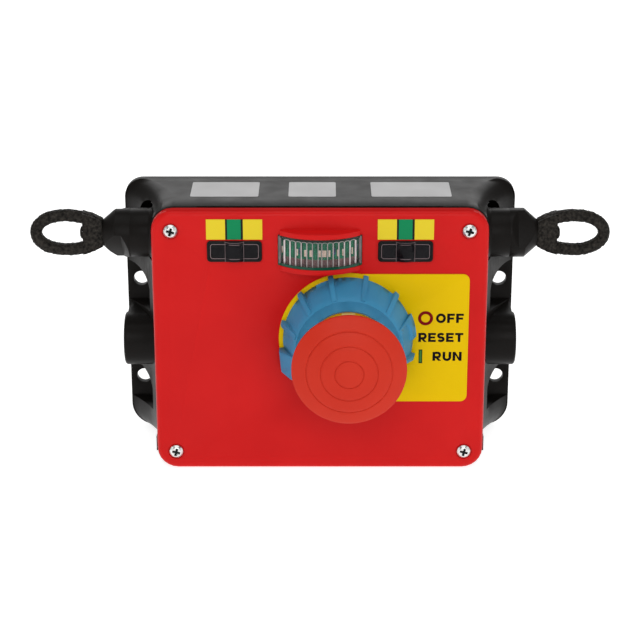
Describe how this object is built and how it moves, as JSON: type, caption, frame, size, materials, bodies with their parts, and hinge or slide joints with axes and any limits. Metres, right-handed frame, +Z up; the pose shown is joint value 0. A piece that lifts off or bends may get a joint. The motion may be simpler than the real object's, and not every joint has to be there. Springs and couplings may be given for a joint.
{
  "type": "rope pull switch",
  "caption": "Two-headed rope pull safety switch in a cast box with a red cover, ribbed reset knob, mushroom stop button, beacon and swivel rope eyes.",
  "frame": {"origin": "centre of the four wall bolt holes, on the back face", "axes": "+X to the right as seen from the front along the pull shafts, +Y into the wall, +Z up"},
  "size_m": [0.3204, 0.1218, 0.1505],
  "materials": {
    "black_casting": "satin textured powder coat on die-cast aluminium",
    "red_casting": "gloss red powder coat",
    "black_iron": "black coated rough casting",
    "seal_rubber": "matt",
    "screw_steel": "satin",
    "yellow_plate": "gloss printed plate",
    "scale_label": "gloss printed label",
    "black_plastic": "matt",
    "clear_window": "clear moulded magnifier",
    "clear_lens": "clear moulded lens",
    "green_board": "solder resist",
    "led_body": "matt",
    "bronze_bush": "sintered",
    "zinc_steel": "zinc plated",
    "shaft_steel": "ground stainless",
    "spring_steel": "oiled spring wire",
    "switch_plastic": "moulded",
    "yellow_plastic": "moulded",
    "cream_plastic": "moulded",
    "terminal_brass": "plain",
    "blue_knob": "satin moulded",
    "red_plastic": "satin moulded",
    "pointer_yellow": "satin"
  },
  "bodies": {
    "body": {"housing": "black_casting", "cover_gasket": "seal_rubber", "front_cover": "red_casting", "cover_screws": "screw_steel", "legend_plate": "yellow_plate", "tension_label_left": "scale_label", "tension_label_right": "scale_label", "window_bezel_left": "black_plastic", "window_bezel_right": "black_plastic", "window_lens_left": "clear_window", "window_lens_right": "clear_window", "beacon_lens": "clear_lens", "beacon_board": "green_board", "beacon_leds": "led_body", "shaft_bush_left": "bronze_bush", "shaft_bush_right": "bronze_bush", "wiper_seal_left": "seal_rubber", "wiper_seal_right": "seal_rubber", "pull_nose_left": "black_casting", "pull_nose_right": "black_casting", "mechanism_plate": "zinc_steel", "mechanism_screws": "screw_steel", "bridge_plate": "zinc_steel", "bridge_posts": "zinc_steel", "latch_guide_pins": "zinc_steel", "trip_switch_left": "switch_plastic", "trip_switch_right": "switch_plastic", "contact_block_1": "switch_plastic", "contact_block_2": "switch_plastic", "contact_block_3": "switch_plastic", "contact_block_4": "switch_plastic", "stop_switch": "switch_plastic", "stop_collar": "yellow_plastic", "terminal_strip": "cream_plastic", "terminal_screws": "terminal_brass", "earth_screw": "terminal_brass"},
    "reset": {"reset_knob": "blue_knob", "knob_retainer": "zinc_steel", "reset_cam": "zinc_steel"},
    "latch": {"latch_bar": "zinc_steel", "contact_plungers": "cream_plastic"},
    "stop_button": {"stop_mushroom": "red_plastic", "stop_stem": "shaft_steel", "stop_circlip": "spring_steel", "stop_spring": "spring_steel"},
    "pull_left": {"pull_shaft_left": "shaft_steel", "spring_cup_left": "zinc_steel", "tension_pointer_left": "pointer_yellow", "shaft_nut_left": "shaft_steel", "tension_spring_left": "spring_steel"},
    "eye_left": {"rope_eye_left": "black_iron"},
    "follower_left": {"cam_follower_left": "cream_plastic"},
    "pull_right": {"pull_shaft_right": "shaft_steel", "spring_cup_right": "zinc_steel", "tension_pointer_right": "pointer_yellow", "shaft_nut_right": "shaft_steel", "tension_spring_right": "spring_steel"},
    "eye_right": {"rope_eye_right": "black_iron"},
    "follower_right": {"cam_follower_right": "cream_plastic"}
  },
  "joints": [
    {"name": "pull_left", "type": "slide", "parent": "body", "child": "pull_left", "axis": [-1, 0, 0], "range_m": [0, 0.026], "stiffness_N_per_m": 4000, "springref_m": -0.01, "deforming": ["tension_spring_left"]},
    {"name": "eye_left_swivel", "type": "hinge", "parent": "pull_left", "child": "eye_left", "pos_m": [-0.125, -0.033, 0.0663], "axis": [-1, 0, 0], "continuous": true},
    {"name": "follower_left_slide", "type": "slide", "parent": "body", "child": "follower_left", "axis": [0, 0, -1], "range_m": [0, 0.0026]},
    {"name": "pull_right", "type": "slide", "parent": "body", "child": "pull_right", "axis": [1, 0, 0], "range_m": [0, 0.026], "stiffness_N_per_m": 4000, "springref_m": -0.01, "deforming": ["tension_spring_right"]},
    {"name": "eye_right_swivel", "type": "hinge", "parent": "pull_right", "child": "eye_right", "pos_m": [0.125, -0.033, 0.0663], "axis": [1, 0, 0], "continuous": true},
    {"name": "follower_right_slide", "type": "slide", "parent": "body", "child": "follower_right", "axis": [0, 0, -1], "range_m": [0, 0.0026]},
    {"name": "reset_turn", "type": "hinge", "parent": "body", "child": "reset", "pos_m": [0.0152, -0.0681, 0.0166], "axis": [0, -1, 0], "range_deg": [-28, 0]},
    {"name": "latch_slide", "type": "slide", "parent": "body", "child": "latch", "axis": [0, 0, 1], "range_m": [-0.0098, 0]},
    {"name": "stop_press", "type": "slide", "parent": "body", "child": "stop_button", "axis": [0, 1, 0], "range_m": [0, 0.006], "stiffness_N_per_m": 1500, "springref_m": -0.004, "deforming": ["stop_spring"]}
  ],
  "couplings": [
    {"joint": "follower_left_slide", "follows": "pull_left", "ratio": 0.1},
    {"joint": "follower_right_slide", "follows": "pull_right", "ratio": 0.1},
    {"joint": "latch_slide", "follows": "reset_turn", "m_per_rad": 0.0198}
  ]
}
